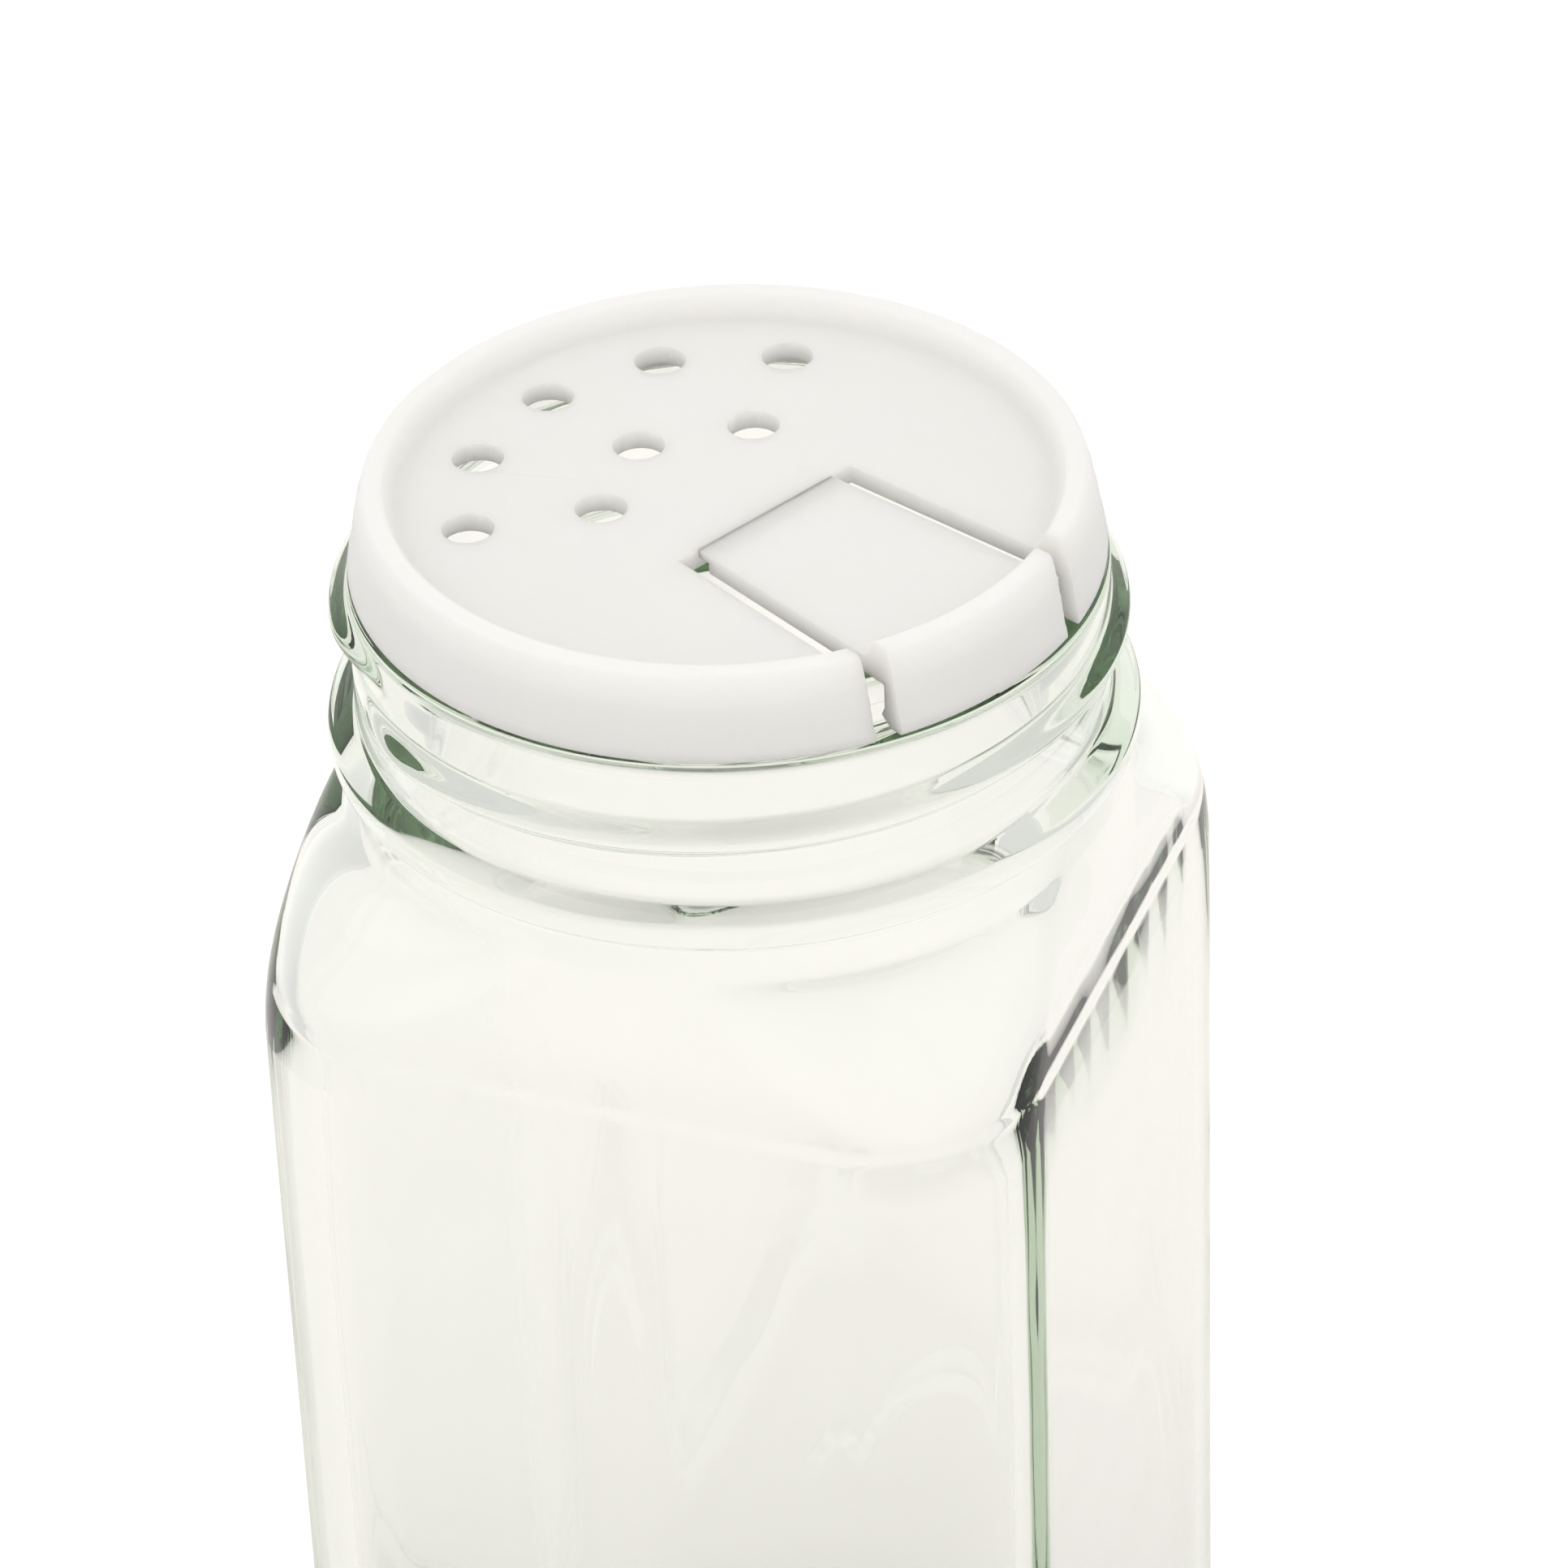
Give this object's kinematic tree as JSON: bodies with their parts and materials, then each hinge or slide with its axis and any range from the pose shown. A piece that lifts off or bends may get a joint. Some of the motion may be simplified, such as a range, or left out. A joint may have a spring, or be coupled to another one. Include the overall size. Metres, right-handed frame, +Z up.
{
  "type": "spice jar",
  "caption": "Square glass spice jar with a round screw neck and a push-on plastic sifter whose pour flap swings up.",
  "frame": {"origin": "middle of the base, on the plane that the jar stands on", "axes": "+Z up to the mouth, -Y out of the front face, +X to the right seen from the front"},
  "size_m": [0.0432, 0.0432, 0.1025],
  "materials": {
    "jar_glass": "clear, glossy",
    "natural_plastic": "natural, milky and translucent"
  },
  "bodies": {
    "jar": {"jar": "jar_glass"},
    "sifter": {"sifter": "natural_plastic"},
    "pour_flap": {"pour_flap": "natural_plastic"}
  },
  "joints": [
    {"name": "sifter_lift", "type": "slide", "parent": "jar", "child": "sifter", "axis": [0, 0, 1], "range_m": [0, 0.03]},
    {"name": "flap_hinge", "type": "hinge", "parent": "sifter", "child": "pour_flap", "pos_m": [0.00271, -0.00129, 0.10125], "axis": [-0.4305, -0.9026, 0], "range_deg": [0, 100]}
  ]
}
